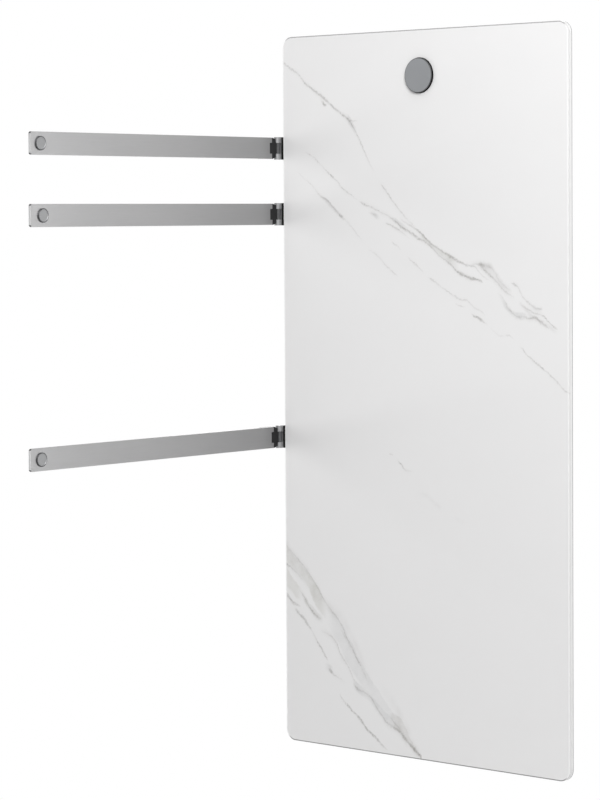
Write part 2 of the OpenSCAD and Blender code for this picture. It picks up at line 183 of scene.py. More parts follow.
VEINS = [
    # pts, core [(s, strength)], halo [(s, strength)], core half width, halo half width (mm)
    ([(0, 1159), (10, 1151), (30, 1140), (50, 1122), (80, 1101), (100, 1088), (125, 1071), (148, 1056), (155, 1047), (165, 1031), (172, 1020), (180, 1005), (188, 991), (203, 970)],
     [(0, .55), (20, .7), (40, .5), (60, .75), (85, .9), (110, .85), (130, .75), (148, 1.0), (158, .75), (170, .55), (180, .55), (190, .25), (203, 0)],
     [(0, .25), (80, .5), (90, .8), (105, .5), (130, .45), (148, 1.0), (160, .5), (178, .6), (195, .3), (203, 0)], 1.1, 7),
    ([(84, 1093), (92, 1083), (100, 1080)], [(84, 0), (90, .9), (96, .6), (100, 0)], [(84, 0), (91, .8), (100, 0)], 2.0, 6),
    ([(150, 1056), (168, 1055)], [(150, .6), (160, .35), (168, 0)], [(150, .5), (168, 0)], .9, 5),
    ([(214, 951), (225, 940), (240, 922), (255, 906), (266, 897), (285, 880), (300, 868)],
     [(214, 0), (220, .6), (235, .65), (248, .45), (262, .35), (280, .2), (300, 0)],
     [(214, 0), (225, .35), (250, .3), (280, .3), (300, 0)], 1.0, 8),
    ([(48, 1005), (62, 999), (80, 986), (92, 975), (105, 966), (120, 955), (135, 941), (150, 933), (172, 918)],
     [(48, 0), (60, .45), (68, .15), (77, .45), (84, .1), (95, .5), (107, .7), (118, .4), (132, .6), (148, .45), (160, .15), (172, 0)],
     [(48, 0), (62, .3), (105, .35), (140, .3), (172, 0)], .9, 7),
    ([(168, 922), (185, 914), (200, 909), (215, 904), (230, 898), (240, 891), (252, 884), (260, 877), (280, 868), (300, 858), (315, 850), (330, 839), (345, 827), (367, 815), (385, 801), (405, 794), (420, 791), (432, 787)],
     [(168, 0), (176, .75), (190, .45), (205, .55), (220, .3), (235, .35), (243, .9), (252, .8), (262, .95), (280, .8), (300, .95), (318, .85), (335, .6), (352, .55), (367, .8), (380, .75), (395, .8), (405, 1), (418, .85), (428, .6), (432, 0)],
     [(168, 0), (176, .4), (200, .55), (235, .6), (248, 1.1), (265, .6), (300, .5), (340, .5), (365, .8), (385, 1.1), (405, 1), (424, .5), (432, 0)], 1.3, 8),
    ([(188, 903), (200, 899), (212, 893)], [(188, 0), (198, .4), (212, 0)], [(188, 0), (200, .5), (212, 0)], 1.0, 7),
    ([(224, 885), (235, 881), (248, 876), (262, 868), (280, 858)], [(224, 0), (232, .6), (248, .7), (262, .3), (280, 0)], [(224, 0), (240, .6), (255, .7), (280, 0)], 1.1, 8),
    ([(256, 893), (267, 886), (285, 877), (300, 869), (307, 864), (320, 852), (340, 841), (350, 836), (360, 830), (367, 827), (385, 820), (397, 815), (410, 814), (418, 808), (428, 800), (445, 790)],
     [(256, 0), (267, .3), (285, .45), (300, .9), (310, .95), (320, .8), (338, .6), (352, .6), (362, 1.2), (370, 1), (385, .85), (398, .7), (410, .5), (425, .35), (438, .2), (445, 0)],
     [(256, .2), (280, .4), (305, .7), (330, .5), (350, .7), (366, 1.2), (380, .5), (400, .4), (425, .3), (445, 0)], 1.2, 6),
    ([(404, 816), (415, 817), (425, 817), (436, 815), (447, 811), (453, 805), (460, 795), (470, 786), (482, 778), (488, 774)],
     [(404, 0), (412, .35), (420, .5), (427, .95), (436, .5), (447, .4), (455, .3), (466, .3), (478, .3), (486, .2), (488, 0)],
     [(404, 0), (418, .7), (428, 1.3), (445, 1.2), (455, .9), (468, .8), (482, .6), (488, 0)], 1.6, 10),
    ([(424, 817), (433, 808), (441, 802), (450, 796), (460, 787), (470, 778), (480, 771), (494, 765)],
     [(424, .5), (435, .8), (450, .6), (462, .4), (475, .5), (484, .3), (494, 0)],
     [(424, .6), (445, .7), (465, .8), (480, .7), (494, 0)], 1.2, 9),
    ([(458, 773), (470, 762), (480, 749), (490, 739), (500, 733), (510, 734), (522, 732), (534, 733), (545, 727), (555, 721), (562, 716)],
     [(458, 0), (468, .3), (482, .42), (493, .4), (503, .5), (513, .25), (522, .55), (532, .8), (545, .75), (556, .7), (562, 0)],
     [(458, 0), (470, .6), (490, .7), (503, .6), (530, .9), (550, .7), (562, 0)], 1.4, 8),
    ([(486, 788), (496, 784), (505, 773), (514, 762), (524, 755), (535, 749), (550, 747)],
     [(486, 0), (491, .8), (500, .4), (508, .3), (520, .45), (530, .3), (544, .4), (550, 0)],
     [(486, 0), (493, .5), (515, .5), (535, .5), (550, 0)], 1.0, 7),
    ([(503, 757), (512, 750), (522, 745), (532, 741), (542, 739), (550, 736), (560, 728), (570, 720), (579, 715)],
     [(503, 0), (512, .5), (523, .6), (540, .4), (550, .7), (562, .6), (574, .75), (579, 0)],
     [(503, 0), (515, .6), (535, .6), (560, .5), (579, 0)], 1.1, 8),
    ([(30, 972), (45, 962), (62, 951), (72, 941), (85, 930), (100, 922), (115, 908), (130, 895), (137, 890), (150, 879), (165, 865), (178, 856)],
     [(30, 0), (42, .3), (50, .05), (60, .3), (70, .05), (84, .5), (100, .75), (115, .6), (132, .7), (140, .1), (155, .3), (168, .25), (178, 0)],
     [(30, 0), (85, .5), (105, .7), (130, .4), (160, .25), (178, 0)], 1.2, 6),
    ([(185, 843), (200, 835), (212, 829), (225, 817), (240, 804), (254, 796)],
     [(185, 0), (200, .25), (207, .3), (215, .1), (230, .4), (245, .4), (254, 0)],
     [(185, 0), (205, .3), (235, .35), (254, 0)], 1.1, 6),
    ([(238, 853), (250, 847), (259, 839)], [(238, 0), (243, .6), (250, .3), (256, .35), (259, 0)], [(238, 0), (248, .3), (259, 0)], 1.0, 5),
    ([(272, 830), (283, 820), (295, 812), (307, 801)], [(272, 0), (280, .55), (292, .5), (300, .3), (307, 0)], [(272, 0), (290, .35), (307, 0)], 1.0, 6),
    ([(315, 794), (330, 788), (350, 776), (360, 771), (375, 764), (385, 760), (396, 760), (405, 752), (415, 745), (425, 741), (436, 734)],
     [(315, 0), (321, .7), (332, .4), (345, .2), (357, .5), (372, .5), (385, .45), (397, .4), (410, .3), (424, .35), (436, 0)],
     [(315, 0), (325, .4), (360, .35), (390, .4), (420, .3), (436, 0)], 1.0, 6),
    ([(372, 754), (382, 750), (394, 748)], [(372, 0), (380, .5), (394, 0)], [(372, 0), (382, .3), (394, 0)], .9, 5),
    ([(404, 737), (413, 733), (422, 729), (431, 725), (440, 720)], [(404, 0), (409, .6), (416, .9), (430, .75), (440, 0)], [(404, 0), (416, .5), (430, .5), (440, 0)], 1.3, 5),
    ([(445, 716), (465, 703), (482, 703), (494, 696)], [(445, .05), (465, .2), (474, .05), (482, .5), (489, .2), (494, 0)], [(445, .1), (470, .3), (494, 0)], 1.0, 6),
    ([(503, 686), (512, 680), (520, 673), (535, 663), (550, 653), (565, 642), (580, 631), (592, 621), (600, 616)],
     [(503, 0), (512, .5), (522, .4), (535, .65), (548, .7), (556, .4), (568, .6), (580, .45), (592, .5), (600, .4)],
     [(503, 0), (520, .3), (550, .4), (580, .3), (600, .2)], 1.1, 6),
    ([(230, 501), (240, 499)], [(230, 0), (235, .5), (240, 0)], [(230, 0), (235, .3), (240, 0)], 1.2, 5),
    ([(249, 493), (256, 487), (262, 482), (268, 477), (286, 475)], [(249, 0), (256, .7), (262, .5), (270, .2), (286, 0)], [(249, 0), (258, .6), (270, .4), (286, 0)], 1.4, 6),
    ([(285, 438), (310, 437), (330, 425), (347, 417)], [(285, 0), (347, 0)], [(285, 0), (305, .3), (335, .4), (347, 0)], 1.0, 9),
    ([(366, 404), (378, 401), (390, 397)], [(366, 0), (390, 0)], [(366, 0), (378, .35), (390, 0)], 1.0, 8),
    # lower left group
    ([(0, 336), (15, 322), (30, 309), (40, 301), (50, 291), (60, 280), (70, 268), (80, 255), (92, 240), (105, 228), (118, 216), (128, 203), (135, 190), (145, 175), (155, 159), (163, 147), (169, 141)],
     [(0, .2), (15, .3), (32, .5), (45, .35), (60, .4), (75, .5), (88, .35), (105, .5), (120, .35), (132, .6), (145, .6), (157, .85), (165, .7), (169, 0)],
     [(0, .8), (30, .6), (60, .65), (85, .6), (110, .5), (140, .6), (160, .7), (169, .2)], 1.2, 10),
    ([(0, 324), (20, 306), (45, 285), (70, 255), (95, 236), (120, 222), (145, 190), (165, 160), (185, 122), (196, 108)],
     [(0, 0), (196, 0)],
     [(0, .9), (30, .7), (60, .5), (90, .35), (130, .55), (165, .6), (185, .4), (196, 0)], 1.0, 16),
    ([(168, 140), (176, 129), (186, 114)], [(168, .3), (176, .3), (186, 0)], [(168, .4), (180, .5), (186, .1)], 1.0, 8),
    ([(0, 302), (10, 298), (22, 290), (36, 278), (50, 262)], [(0, .7), (10, .6), (20, .3), (35, .2), (50, 0)], [(0, .7), (20, .7), (36, .4), (50, 0)], 1.4, 8),
    ([(30, 260), (45, 244), (55, 231), (63, 223), (72, 216), (84, 213)],
     [(30, 0), (36, .5), (48, .6), (58, .9), (66, .8), (76, .4), (84, 0)], [(30, .2), (45, .8), (62, .9), (76, .7), (84, .1)], 1.7, 9),
    ([(0, 251), (8, 244), (14, 238), (22, 234), (33, 231)], [(0, 1), (8, .9), (15, 1), (24, .6), (33, 0)], [(0, .9), (14, .9), (28, .4), (33, 0)], 1.9, 7),
    ([(18, 227), (30, 218), (40, 211), (48, 204), (56, 195), (66, 180), (72, 172), (80, 163), (90, 150), (96, 142)],
     [(18, 0), (24, .7), (34, .8), (44, 1), (50, .8), (57, .2), (65, .2), (71, .8), (80, .6), (90, .7), (96, 0)],
     [(18, .1), (35, .5), (50, .5), (70, .4), (90, .4), (96, 0)], 1.5, 6),
    ([(93, 132), (100, 127), (107, 122), (118, 117), (132, 110)], [(93, 0), (100, 1), (106, .5), (116, .2), (132, 0)], [(93, 0), (101, .9), (116, .5), (132, 0)], 1.9, 8),
    ([(78, 194), (95, 190), (105, 184), (115, 172), (124, 156), (134, 145), (142, 134), (150, 121), (158, 110)],
     [(78, 0), (92, .25), (104, .5), (112, .35), (122, .5), (132, .45), (144, .4), (152, .3), (158, 0)],
     [(78, .2), (100, .7), (122, .6), (145, .4), (158, 0)], 1.3, 9),
    ([(122, 203), (130, 192), (140, 180), (152, 163)], [(122, 0), (130, .4), (142, .4), (152, 0)], [(122, .1), (135, .5), (152, .1)], 1.1, 8),
    ([(120, 88), (130, 79), (140, 72), (150, 64), (160, 56), (170, 48), (180, 38), (190, 31), (200, 24), (212, 15), (226, 7)],
     [(120, 0), (124, .5), (131, .3), (138, .9), (150, .85), (165, .95), (180, .9), (190, 1), (205, .85), (218, .6), (226, 0)],
     [(120, .1), (140, .4), (170, .5), (190, .6), (210, .4), (226, 0)], 1.5, 6),
    ([(150, 111), (160, 103), (175, 98), (190, 90), (200, 78), (210, 66), (220, 55), (235, 48), (248, 42), (260, 33), (270, 26), (280, 18), (289, 11), (298, 3)],
     [(150, 0), (156, .7), (168, .4), (180, .4), (192, .6), (202, .5), (212, .65), (224, .5), (240, .7), (250, .95), (262, .9), (272, .8), (281, 1), (290, 1.15), (298, 1)],
     [(150, .2), (160, .5), (185, .5), (205, .6), (225, .7), (250, .9), (275, 1), (290, 1.1), (298, 1)], 1.8, 11),
    ([(227, 66), (236, 59), (246, 50), (256, 38), (268, 24)], [(227, 0), (238, .6), (247, .5), (256, .3), (268, 0)], [(227, .2), (240, .7), (256, .7), (268, .4)], 1.3, 9),
    ([(205, 113), (220, 102), (235, 90), (250, 74), (262, 56), (272, 38), (282, 20), (292, 6)], [(205, 0), (292, 0)],
     [(205, 0), (225, .35), (245, .5), (260, .6), (275, .7), (292, .6)], 1.0, 13),
]


# soft clouded bands between an upper and a lower line: upper, lower, strength, tint
FILLS = [
    ([(296, 872), (307, 865), (320, 854), (340, 842), (352, 837), (367, 827), (380, 820)],
     [(296, 860), (315, 850), (330, 839), (345, 828), (367, 815), (375, 810), (380, 806)],
     [(296, 0), (303, .5), (318, .8), (340, .95), (358, 1), (370, .6), (380, 0)], (0.47, 0.47, 0.44)),
    ([(238, 896), (250, 891), (262, 884), (275, 877)], [(238, 888), (250, 882), (262, 875), (275, 869)],
     [(238, 0), (246, .9), (256, .8), (266, .3), (275, 0)], (0.42, 0.42, 0.42)),
    ([(376, 812), (388, 804), (400, 799), (415, 794), (430, 789)], [(376, 804), (388, 796), (400, 791), (415, 789), (430, 786)],
     [(376, 0), (386, .8), (398, .9), (412, .6), (430, 0)], (0.44, 0.43, 0.42)),
    ([(420, 821), (432, 821), (446, 817), (456, 807), (468, 793), (484, 778)], [(420, 812), (432, 806), (446, 797), (456, 788), (468, 778), (484, 769)],
     [(420, 0), (430, .7), (445, .35), (458, .25), (472, .3), (484, 0)], (0.50, 0.49, 0.49)),
    ([(462, 768), (474, 756), (486, 745), (500, 741), (512, 741), (520, 738)], [(462, 764), (474, 748), (486, 737), (500, 730), (512, 729), (520, 730)],
     [(462, 0), (470, .5), (482, .8), (496, .9), (508, .8), (520, 0)], (0.48, 0.48, 0.48)),
    ([(500, 762), (512, 753), (525, 741), (540, 733), (556, 726), (572, 716), (579, 711)], [(500, 754), (512, 744), (525, 733), (540, 726), (556, 718), (572, 709), (579, 706)],
     [(500, 0), (510, .6), (524, .8), (538, .8), (552, .6), (568, .5), (579, 0)], (0.50, 0.485, 0.485)),
    ([(524, 757), (535, 752), (549, 750)], [(524, 751), (535, 745), (549, 744)], [(524, 0), (534, .6), (543, .8), (549, 0)], (0.50, 0.50, 0.50)),
    # lower left group
    ([(0, 336), (18, 318), (37, 301), (62, 280), (84, 252), (92, 240)], [(0, 304), (18, 294), (37, 278), (52, 262), (70, 232), (92, 212)],
     [(0, .75), (20, .5), (45, .55), (62, .9), (80, .75), (92, 0)], (0.46, 0.455, 0.41)),
    ([(0, 300), (12, 284), (24, 272), (36, 262)], [(0, 262), (12, 256), (24, 244), (36, 240)], [(0, .55), (14, .7), (26, .6), (36, 0)], (0.47, 0.46, 0.41)),
    ([(34, 264), (48, 246), (60, 236), (74, 222), (84, 216)], [(34, 252), (48, 232), (60, 222), (74, 211), (84, 208)],
     [(34, 0), (46, .55), (58, .5), (72, .45), (84, 0)], (0.42, 0.42, 0.39)),
    ([(92, 236), (108, 228), (122, 214), (140, 192), (160, 160), (182, 132), (210, 100), (236, 72), (256, 50)], [(92, 208), (108, 186), (122, 168), (140, 140), (160, 118), (182, 96), (210, 66), (236, 46), (256, 36)],
     [(92, 0), (110, .45), (135, .55), (160, .55), (182, .5), (210, .45), (236, .4), (256, 0)], (0.54, 0.545, 0.55)),
    ([(150, 120), (166, 110), (186, 98), (204, 84), (222, 70), (238, 62)], [(150, 104), (166, 94), (186, 84), (204, 66), (222, 50), (238, 44)],
     [(150, 0), (160, .8), (180, .45), (204, .4), (224, .5), (238, 0)], (0.48, 0.485, 0.49)),
    ([(228, 72), (240, 70), (252, 66), (266, 46), (280, 26), (292, 10)], [(228, 54), (240, 44), (252, 38), (266, 26), (280, 14), (292, 2)],
     [(228, 0), (238, .8), (252, .9), (268, .7), (284, .8), (292, .3)], (0.47, 0.455, 0.435)),
    ([(86, 140), (98, 138), (108, 130)], [(86, 130), (98, 124), (108, 122)], [(86, 0), (98, .6), (108, 0)], (0.45, 0.44, 0.45)),
    # short ones
    ([(142, 1066), (150, 1062), (158, 1050), (166, 1036)], [(142, 1056), (150, 1046), (158, 1034), (166, 1026)], [(142, 0), (149, .9), (158, .5), (166, 0)], (0.42, 0.40, 0.41)),
    ([(192, 905), (204, 902), (216, 896)], [(192, 898), (204, 893), (216, 889)], [(192, 0), (204, .8), (216, 0)], (0.46, 0.46, 0.46)),
    ([(84, 934), (98, 925), (112, 914), (126, 903), (136, 894)], [(84, 928), (98, 917), (112, 905), (126, 894), (136, 888)], [(84, 0), (96, .8), (112, .6), (126, .5), (136, 0)], (0.42, 0.40, 0.41)),
]


def float_curve(m, x, pts, lo, hi, linear=False):
    """A Float Curve node giving the value at x (0..1), points already scaled."""
    n = m.n("ShaderNodeFloatCurve")
    m.put(n.inputs["Value"], x)
    c = n.mapping.curves[0]
    pts = sorted(pts)
    while len(c.points) < len(pts):
        c.points.new(0.5, 0.5)
    for p, (a, b) in zip(c.points, pts):
        p.location = (a, b)
        p.handle_type = "VECTOR" if linear else "AUTO"
    n.mapping.extend = "HORIZONTAL"
    n.mapping.use_clip = False
    n.mapping.update()
    return n.outputs[0]


def stone_material():
    m = Mat("stone_marble")
    P = m.coord()
    x, y, z = m.xyz(P)
    # millimetres from the panel's lower left corner
    s0 = m.math("MULTIPLY", m.math("SUBTRACT", x, LO[0]), 1000.0)
    z0 = m.math("MULTIPLY", m.math("SUBTRACT", z, LO[2]), 1000.0)
    flat = m.comb(x, 0.0, z)
    # natural wander of every vein: a slow, a medium and a fine one
    w1 = m.n("ShaderNodeTexNoise"); m.put(w1.inputs["Vector"], flat)
    w1.inputs["Scale"].default_value = 32.0; w1.inputs["Detail"].default_value = 4.0
    w1.inputs["Roughness"].default_value = 0.62
    wo = m.xyz(w1.outputs["Color"])
    w2 = m.n("ShaderNodeTexNoise"); m.put(w2.inputs["Vector"], m.vmath("ADD", flat, (3.1, 0, 7.7)))
    w2.inputs["Scale"].default_value = 190.0; w2.inputs["Detail"].default_value = 3.0
    w2.inputs["Roughness"].default_value = 0.6
    wo2 = m.xyz(w2.outputs["Color"])
    s1 = m.math("ADD", s0, m.math("MULTIPLY", m.math("SUBTRACT", wo[0], 0.5), 7.0))
    z1 = m.math("ADD", z0, m.math("MULTIPLY", m.math("SUBTRACT", wo[1], 0.5), 9.0))
    s1 = m.math("ADD", s1, m.math("MULTIPLY", m.math("SUBTRACT", wo2[0], 0.5), 3.4))
    z1 = m.math("ADD", z1, m.math("MULTIPLY", m.math("SUBTRACT", wo2[1], 0.5), 5.0))
    # break-up along the veins
    br = m.noise(m.vmath("ADD", flat, (9.0, 0, 2.0)), 95.0, 4.0, 0.7)
    brk = m.remap(br, 0.34, 0.62, 0.35, 1.25)
    br2 = m.noise(m.vmath("ADD", flat, (5.0, 0, 3.0)), 330.0, 3.0, 0.6)
    brk = m.math("MULTIPLY", brk, m.remap(br2, 0.36, 0.60, 0.45, 1.2))
    # ragged edges: the distance to a line is jittered by fine crystal noise
    fray = m.math("MULTIPLY", m.math("SUBTRACT", m.noise(m.vmath("ADD", flat, (2.0, 0, 6.0)), 420.0, 3.0, 0.7), 0.5), 3.4)
    hb = m.noise(m.vmath("ADD", flat, (1.0, 0, 5.0)), 45.0, 5.0, 0.7)
    hbk = m.remap(hb, 0.30, 0.68, 0.15, 1.25)

    core_sum = None
    halo_sum = None
    for pts, core, halo, cw, hw in VEINS:
        a, b = pts[0][0], pts[-1][0]
        zl = min(p[1] for p in pts) - 1.0
        zh = max(p[1] for p in pts) + 1.0
        slope = (pts[-1][1] - pts[0][1]) / (b - a)
        cosv = 1.0 / math.sqrt(1.0 + slope * slope)
        u = m.math("DIVIDE", m.math("SUBTRACT", s1, float(a)), float(b - a))
        f = float_curve(m, u, [((p[0] - a) / (b - a), (p[1] - zl) / (zh - zl)) for p in pts], 0, 1)
        zc = m.math("MULTIPLY_ADD", f, zh - zl, zl)
        d = m.math("MULTIPLY", m.math("ABSOLUTE", m.math("SUBTRACT", z1, zc)), cosv)
        d = m.math("MAXIMUM", m.math("ADD", d, fray), 0.0)
        inside = m.math("MULTIPLY", m.math("GREATER_THAN", u, -0.002), m.math("LESS_THAN", u, 1.002))
        if any(v > 0 for _, v in core):
            k = float_curve(m, u, [((p[0] - a) / (b - a), p[1] / 1.3) for p in core], 0, 1, True)
            k = m.math("MULTIPLY", m.math("MULTIPLY", k, 1.3), inside)
            w = m.math("MULTIPLY_ADD", k, cw * 1.1, 0.95)
            c = m.remap(m.math("DIVIDE", d, w), 0.0, 1.35, 1.0, 0.0, "SMOOTHSTEP")
            c = m.math("MULTIPLY", c, k)
            core_sum = c if core_sum is None else m.math("MAXIMUM", core_sum, c)
        k = float_curve(m, u, [((p[0] - a) / (b - a), p[1] / 1.3) for p in halo], 0, 1, True)
        k = m.math("MULTIPLY", m.math("MULTIPLY", k, 1.3), inside)
        h = m.math("POWER", m.remap(d, 0.0, float(hw), 1.0, 0.0, "SMOOTHSTEP"), 1.5)
        h = m.math("MULTIPLY", h, k)
        halo_sum = h if halo_sum is None else m.math("ADD", halo_sum, m.math("MULTIPLY", h, 0.8))

    core_f = m.math("MULTIPLY", core_sum, brk, clamp=False)
    core_f = m.math("MULTIPLY", core_f, CORE_F, clamp=True)
    halo_f = m.math("MULTIPLY", m.math("MULTIPLY", halo_sum, hbk), HALO_F, clamp=True)

    # very faint clouding and a whisper of fine crystal grain in the body colour
    cloud = m.noise(flat, 3.2, 5.0, 0.6)
    cloud2 = m.noise(m.vmath("ADD", flat, (4.0, 0, 1.0)), 11.0, 6.0, 0.7)
    grain = m.noise(P, 2600.0, 2.0, 0.6)
    cl = m.math("ADD", m.math("MULTIPLY", m.math("SUBTRACT", cloud, 0.5), 0.10),
                m.math("MULTIPLY", m.math("SUBTRACT", cloud2, 0.5), 0.06))
    cl = m.math("ADD", cl, m.math("MULTIPLY", m.math("SUBTRACT", grain, 0.5), 0.03))
    base = m.mix(m.math("ADD", cl, 0.5, clamp=True), col(0.735, 0.731, 0.731), col(0.90, 0.897, 0.899))
    c1 = m.mix(halo_f, base, col(0.40, 0.385, 0.375))
    for upper, lower, strength, tone in FILLS:
        a, b = upper[0][0], upper[-1][0]
        u = m.math("DIVIDE", m.math("SUBTRACT", s1, float(a)), float(b - a))
        edges = []
        for pts in (upper, lower):
            zl = min(p[1] for p in pts) - 1.0
            zh = max(p[1] for p in pts) + 1.0
            f = float_curve(m, u, [((p[0] - a) / (b - a), (p[1] - zl) / (zh - zl)) for p in pts], 0, 1)
            edges.append(m.math("MULTIPLY_ADD", f, zh - zl, zl))
        k = float_curve(m, u, [((p[0] - a) / (b - a), p[1] / 1.3) for p in strength], 0, 1, True)
        inside = m.math("MULTIPLY", m.math("GREATER_THAN", u, -0.002), m.math("LESS_THAN", u, 1.002))
        zf = m.math("ADD", z1, m.math("MULTIPLY", fray, 0.8))
        top = m.remap(m.math("SUBTRACT", edges[0], zf), -1.5, 2.5, 0.0, 1.0, "SMOOTHSTEP")
        bot = m.remap(m.math("SUBTRACT", zf, edges[1]), -2.0, 4.5, 0.0, 1.0, "SMOOTHSTEP")
        f = m.math("MULTIPLY", m.math("MULTIPLY", top, bot), m.math("MULTIPLY", k, m.math("MULTIPLY", inside, FILL_F)))
        f = m.math("MULTIPLY", f, m.remap(hb, 0.28, 0.66, 0.45, 1.35), clamp=True)
        c1 = m.mix(f, c1, col(*tone))
    tint = m.mix(m.remap(hb, 0.35, 0.7), col(0.150, 0.143, 0.137), col(0.215, 0.190, 0.165))
    c2 = m.mix(core_f, c1, tint)
    # painted shade along the top and bottom edges: a thin grey line stands in for the shaded arris, a little stronger
    # at the bottom
    qx = m.math("MAXIMUM", m.math("SUBTRACT", m.math("ABSOLUTE", x), HALF[0] - 0.019), 0.0)
    qz = m.math("MAXIMUM", m.math("SUBTRACT", m.math("ABSOLUTE", z), HALF[1] - 0.019), 0.0)
    rad = m.math("SQRT", m.math("ADD", m.math("MULTIPLY", qx, qx), m.math("MULTIPLY_ADD", qz, qz, 1e-10)))
    arris = m.remap(rad, 0.019 - 0.0021, 0.019 - 0.0011, 0.0, 1.0, "SMOOTHSTEP")
    vert = m.remap(m.math("DIVIDE", qz, rad), 0.5, 0.92, 0.0, 1.0, "SMOOTHSTEP")
    front = m.math("LESS_THAN", y, FACE_Y + 0.0012)
    bottom_edge_shade_boost = m.remap(z, 0.0, -0.02, 1.0, 1.3)
    edge_shade_line = m.math("MULTIPLY", m.math("MULTIPLY", arris, vert), m.math("MULTIPLY", m.math("MULTIPLY", front, bottom_edge_shade_boost), ARRIS_SHADE), clamp=True)
    c2 = m.mix(edge_shade_line, c2, col(0.235, 0.233, 0.235))
    # and a painted highlight along the upright edges: a light line stands in for light on the arris
    fine = m.remap(rad, 0.019 - 0.0030, 0.019 - 0.0014, 0.0, 1.0, "SMOOTHSTEP")
    side = m.math("MULTIPLY", fine, m.math("SUBTRACT", 1.0, vert))
    c2 = m.mix(m.math("MULTIPLY", side, m.math("MULTIPLY", front, 0.6)), c2, col(0.955, 0.955, 0.955))
    m.to("Base Color", c2)
    rg = m.math("ADD", m.math("MULTIPLY", cloud2, 0.015), m.math("MULTIPLY", core_f, 0.05))
    rg = m.math("ADD", rg, 0.24)
    m.to("Roughness", rg)
    hgt = m.math("SUBTRACT", m.math("MULTIPLY", m.noise(P, 900.0, 3.0, 0.6), 0.6), m.math("MULTIPLY", core_f, 0.6))
    m.to("Normal", m.bump(hgt, 0.10, 0.0002))
    m.set(IOR=1.5)
    return m


stone = stone_material()
assign(stone, "stone_slab")


# ---------------------------------------------------------- other materials
def brushed(name, base, rough, streak_axis, scale_fine=2400.0, aniso=0.0, var=0.10, along=9.0, bump=0.25):
    """Brushed metal: long fine streaks along one axis of the object."""
    m = Mat(name)
    P = m.coord()
    k = [scale_fine] * 3
    k[streak_axis] = along
    v = m.scale(P, tuple(k))
    f = m.noise(v, 1.0, 3.0, 0.6)
    k2 = [scale_fine * 0.28] * 3
    k2[streak_axis] = along * 0.35
    f2 = m.noise(m.scale(P, tuple(k2)), 1.0, 3.0, 0.55)
    smear = m.noise(P, 14.0, 3.0, 0.55)
    mixf = m.math("ADD", m.math("MULTIPLY", f, 0.6), m.math("MULTIPLY", f2, 0.4))
    lo = tuple(c * (1.0 - var) for c in base)
    hi = tuple(min(1.0, c * (1.0 + var)) for c in base)
    m.to("Base Color", m.mix(mixf, col(*lo), col(*hi)))
    r = m.math("ADD", m.math("MULTIPLY", m.math("SUBTRACT", f, 0.5), 0.22), rough)
    r = m.math("ADD", r, m.math("MULTIPLY", m.math("SUBTRACT", smear, 0.5), 0.08))
    m.to("Roughness", r)
    m.to("Normal", m.bump(mixf, bump, 0.00006))
    m.set(Metallic=1.0)
    return m


def painted(name, c, rough, grain=1500.0, amount=0.25, depth=0.0001, metallic=0.0, var=0.12):
    """Moulded plastic, powder coat or rubber with a fine raised grain."""
    m = Mat(name)
    P = m.coord()
    g = m.noise(P, grain, 2.0, 0.5)
    v = m.voronoi(P, grain * 0.6)
    broad = m.noise(P, 9.0, 4.0, 0.6)
    t = m.math("ADD", m.math("MULTIPLY", g, 0.5), m.math("MULTIPLY", broad, 0.5))
    m.to("Base Color", m.mix(t, col(*[k * (1 - var) for k in c]), col(*[min(1.0, k * (1 + var)) for k in c])))
    m.to("Roughness", m.math("ADD", m.math("MULTIPLY", m.math("SUBTRACT", broad, 0.5), 0.14), rough))
    h = m.math("ADD", m.math("MULTIPLY", g, 0.5), m.math("MULTIPLY", v, 0.5))
    m.to("Normal", m.bump(h, amount, depth))
    m.set(Metallic=metallic)
    return m


ARMS = ["upper", "middle", "lower"]
PIN = ((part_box("upper_hinge_pin")[0][0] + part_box("upper_hinge_pin")[1][0]) / 2.0,
       (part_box("upper_hinge_pin")[0][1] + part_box("upper_hinge_pin")[1][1]) / 2.0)


def arm_material():
    """Lengthwise-brushed steel, painted a little duller and darker towards the hinge as painted shade, with a painted
    highlight and painted reflection at the tip.
    """
    m = brushed("arm_brushed_steel", (0.50, 0.50, 0.503), 0.34, 1)
    x, y, z = m.xyz()
    src = m.b.inputs["Base Color"].links[0].from_socket
    # painted shade: the bar is painted darker towards the hinge, and more so in the last 55 mm before the pin
    away = m.math("SUBTRACT", PIN[1], y)
    hinge_shade = m.remap(away, 0.0, 0.36, ARM_HINGE_SHADE, 0.0, "SMOOTHSTEP")
    hinge_shade = m.math("ADD", hinge_shade, m.remap(away, 0.0, 0.055, 0.30, 0.0, "SMOOTHSTEP"), clamp=True)
    c = m.mix(hinge_shade, src, col(0.20, 0.20, 0.205))
    # the cut tip: a painted highlight makes the end face pale, and painted reflection darkens the rounded corners
    tip = min(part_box(a + "_arm")[0][1] for a in ARMS)
    tip_highlight = m.remap(m.math("SUBTRACT", y, tip), 0.0004, 0.0013, 0.8, 0.0, "SMOOTHSTEP")
    dz = None
    for a in ARMS:
        lo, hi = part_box(a + "_arm")
        d = m.math("ABSOLUTE", m.math("SUBTRACT", z, (lo[2] + hi[2]) / 2.0))
        dz = d if dz is None else m.math("MINIMUM", dz, d)
    half = (hi[2] - lo[2]) / 2.0
    corner = m.remap(dz, half - 0.0034, half - 0.0022, 0.0, 1.0, "SMOOTHSTEP")
    c = m.mix(m.math("MULTIPLY", tip_highlight, m.math("SUBTRACT", 1.0, corner)), c, col(0.88, 0.88, 0.88))
    tip_corner_reflection = m.remap(m.math("SUBTRACT", y, tip), 0.0014, 0.0032, 1.0, 0.0, "SMOOTHSTEP")
    c = m.mix(m.math("MULTIPLY", tip_corner_reflection, m.math("MULTIPLY", corner, 0.75)), c, col(0.09, 0.09, 0.092))
    m.to("Base Color", c)
    return m


